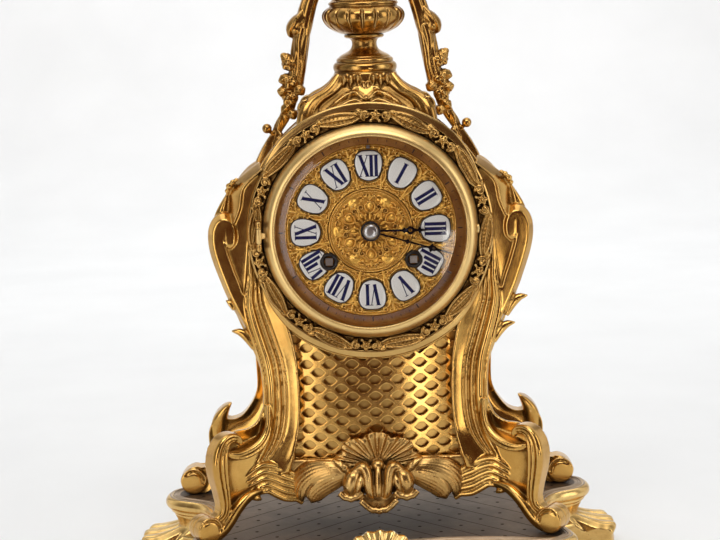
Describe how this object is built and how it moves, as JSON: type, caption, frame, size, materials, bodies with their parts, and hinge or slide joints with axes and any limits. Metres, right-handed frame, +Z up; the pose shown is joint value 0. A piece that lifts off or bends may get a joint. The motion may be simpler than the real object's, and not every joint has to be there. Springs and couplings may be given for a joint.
{
  "type": "mantel clock",
  "caption": "Waisted gilt-bronze mantel clock on a scroll-footed base, with urn finial, pierced trellis front, hinged glazed bezel and a wound striking movement inside.",
  "frame": {"origin": "bottom centre of the base, on the plane of the foot soles", "axes": "+X to the viewer's right, +Y away from the viewer towards the rear door, +Z up; the dial faces -Y"},
  "size_m": [0.3, 0.164, 0.408],
  "materials": {
    "gilt_bronze": "fire-gilt cast bronze, burnished on the high parts and dark in the recesses",
    "polished_gilt": "smooth polished gilt bronze",
    "engraved_gilt": "engraved, worn gilt bronze sheet",
    "backing_gilt": "gilt sheet",
    "dial_gilt": "gilt cast relief",
    "white_enamel": "white glass enamel on copper",
    "black_collet": "black",
    "blued_steel": "dark blued",
    "polished_steel": "polished",
    "dial_glass": "clear convex glass",
    "steel": "ground",
    "movement_brass": "brushed and lacquered",
    "bell_metal": "turned"
  },
  "bodies": {
    "case": {"base_plinth": "gilt_bronze", "base_feet": "gilt_bronze", "base_shell_mount": "gilt_bronze", "case_front": "gilt_bronze", "pilaster_left": "gilt_bronze", "pilaster_right": "gilt_bronze", "rear_leg_left": "gilt_bronze", "rear_leg_right": "gilt_bronze", "side_panel_left": "gilt_bronze", "side_panel_right": "gilt_bronze", "case_back": "gilt_bronze", "case_drum": "gilt_bronze", "trellis_panel": "gilt_bronze", "apron_shell": "gilt_bronze", "dial_surround": "gilt_bronze", "top_pedestal": "gilt_bronze", "urn_foot": "gilt_bronze", "urn_body": "gilt_bronze", "urn_cover": "gilt_bronze", "garland_left": "gilt_bronze", "garland_right": "gilt_bronze", "base_top_plate": "engraved_gilt", "trellis_backing": "backing_gilt", "dial_plate": "dial_gilt", "dial_centre": "dial_gilt", "enamel_plaques": "white_enamel", "winding_collets": "black_collet", "base_nuts": "steel", "urn_tie_rod": "steel", "hinge_pins": "steel", "movement_front_plate": "movement_brass", "movement_back_plate": "movement_brass", "movement_pillars": "movement_brass", "suspension_bracket": "movement_brass", "bell": "bell_metal"},
    "bezel": {"bezel_ring": "polished_gilt", "bezel_glass": "dial_glass"},
    "rear_door": {"rear_door": "gilt_bronze"},
    "minute_train": {"minute_hand": "blued_steel", "hand_nut": "polished_steel", "centre_wheel": "movement_brass", "cannon_pinion": "steel"},
    "hour_train": {"hour_hand": "blued_steel", "hour_wheel": "movement_brass"},
    "minute_wheel": {"minute_wheel": "movement_brass"},
    "intermediate_wheel": {"intermediate_wheel": "movement_brass"},
    "going_barrel": {"going_barrel": "movement_brass"},
    "going_winder": {"going_winding_arbor": "steel"},
    "going_click": {"going_click": "steel"},
    "third_wheel": {"third_wheel": "movement_brass"},
    "escape_wheel": {"escape_wheel": "movement_brass"},
    "anchor": {"pallet_anchor": "steel"},
    "pendulum": {"pendulum": "movement_brass"},
    "strike_barrel": {"strike_barrel": "movement_brass"},
    "strike_winder": {"strike_winding_arbor": "steel"},
    "strike_click": {"strike_click": "steel"},
    "strike_second": {"strike_second_wheel": "movement_brass"},
    "strike_pin_wheel": {"strike_pin_wheel": "movement_brass"},
    "hammer": {"hammer": "steel"},
    "regulator": {"regulator_arbor": "steel"}
  },
  "joints": [
    {"name": "bezel_hinge", "type": "hinge", "parent": "case", "child": "bezel", "pos_m": [-0.0642, -0.0438, 0.218], "axis": [0, 0, -1], "range_deg": [0, 110]},
    {"name": "rear_door_hinge", "type": "hinge", "parent": "case", "child": "rear_door", "pos_m": [0.062, 0.077, 0.218], "axis": [0, 0, -1], "range_deg": [0, 105]},
    {"name": "minute_turn", "type": "hinge", "parent": "case", "child": "minute_train", "pos_m": [0, 0, 0.218], "axis": [0, 1, 0], "continuous": true},
    {"name": "hour_turn", "type": "hinge", "parent": "case", "child": "hour_train", "pos_m": [0, 0, 0.218], "axis": [0, 1, 0], "continuous": true},
    {"name": "minute_wheel_turn", "type": "hinge", "parent": "case", "child": "minute_wheel", "pos_m": [0, 0, 0.23303], "axis": [0, 1, 0], "continuous": true},
    {"name": "intermediate_turn", "type": "hinge", "parent": "case", "child": "intermediate_wheel", "pos_m": [0.01863, 0, 0.22137], "axis": [0, 1, 0], "continuous": true},
    {"name": "going_barrel_turn", "type": "hinge", "parent": "case", "child": "going_barrel", "pos_m": [0.0245, 0, 0.2005], "axis": [0, 1, 0], "continuous": true},
    {"name": "third_turn", "type": "hinge", "parent": "case", "child": "third_wheel", "pos_m": [-0.01158, 0, 0.2323], "axis": [0, 1, 0], "continuous": true},
    {"name": "escape_turn", "type": "hinge", "parent": "case", "child": "escape_wheel", "pos_m": [0, 0, 0.242], "axis": [0, 1, 0], "continuous": true},
    {"name": "going_wind", "type": "hinge", "parent": "case", "child": "going_winder", "pos_m": [0.0245, 0, 0.2005], "axis": [0, 1, 0], "range_deg": [0, 1440]},
    {"name": "going_click_lift", "type": "hinge", "parent": "case", "child": "going_click", "pos_m": [0.0365, 0, 0.21], "axis": [0, 1, 0], "range_deg": [0, 12], "stiffness_Nm_per_rad": 0.005},
    {"name": "pendulum_swing", "type": "hinge", "parent": "case", "child": "pendulum", "pos_m": [0, 0, 0.255], "axis": [0, 1, 0], "range_deg": [-4.5, 4.5]},
    {"name": "anchor_rock", "type": "hinge", "parent": "case", "child": "anchor", "pos_m": [0, 0, 0.255], "axis": [0, 1, 0], "range_deg": [-4.6, 4.6]},
    {"name": "strike_second_turn", "type": "hinge", "parent": "case", "child": "strike_second", "pos_m": [-0.0283, 0, 0.22184], "axis": [0, 1, 0], "continuous": true},
    {"name": "strike_barrel_turn", "type": "hinge", "parent": "case", "child": "strike_barrel", "pos_m": [-0.0245, 0, 0.2005], "axis": [0, 1, 0], "continuous": true},
    {"name": "strike_pin_turn", "type": "hinge", "parent": "case", "child": "strike_pin_wheel", "pos_m": [-0.02955, 0, 0.23622], "axis": [0, 1, 0], "continuous": true},
    {"name": "strike_wind", "type": "hinge", "parent": "case", "child": "strike_winder", "pos_m": [-0.0245, 0, 0.2005], "axis": [0, -1, 0], "range_deg": [0, 1440]},
    {"name": "strike_click_lift", "type": "hinge", "parent": "case", "child": "strike_click", "pos_m": [-0.0365, 0, 0.21], "axis": [0, -1, 0], "range_deg": [0, 12], "stiffness_Nm_per_rad": 0.005},
    {"name": "hammer_lift", "type": "hinge", "parent": "case", "child": "hammer", "pos_m": [-0.04, 0, 0.192], "axis": [0, -1, 0], "range_deg": [0, 10], "stiffness_Nm_per_rad": 0.02},
    {"name": "regulator_turn", "type": "hinge", "parent": "case", "child": "regulator", "pos_m": [0, 0, 0.2666], "axis": [0, 1, 0], "continuous": true}
  ],
  "couplings": [
    {"joint": "hour_turn", "follows": "minute_turn", "ratio": 0.083333},
    {"joint": "minute_wheel_turn", "follows": "minute_turn", "ratio": -0.33333},
    {"joint": "intermediate_turn", "follows": "minute_turn", "ratio": -0.16667},
    {"joint": "going_barrel_turn", "follows": "minute_turn", "ratio": 0.02381},
    {"joint": "third_turn", "follows": "minute_turn", "ratio": -5},
    {"joint": "escape_turn", "follows": "minute_turn", "ratio": 25},
    {"joint": "anchor_rock", "follows": "pendulum_swing", "ratio": 1},
    {"joint": "strike_barrel_turn", "follows": "strike_second_turn", "ratio": -0.14286},
    {"joint": "strike_pin_turn", "follows": "strike_second_turn", "ratio": -5}
  ]
}
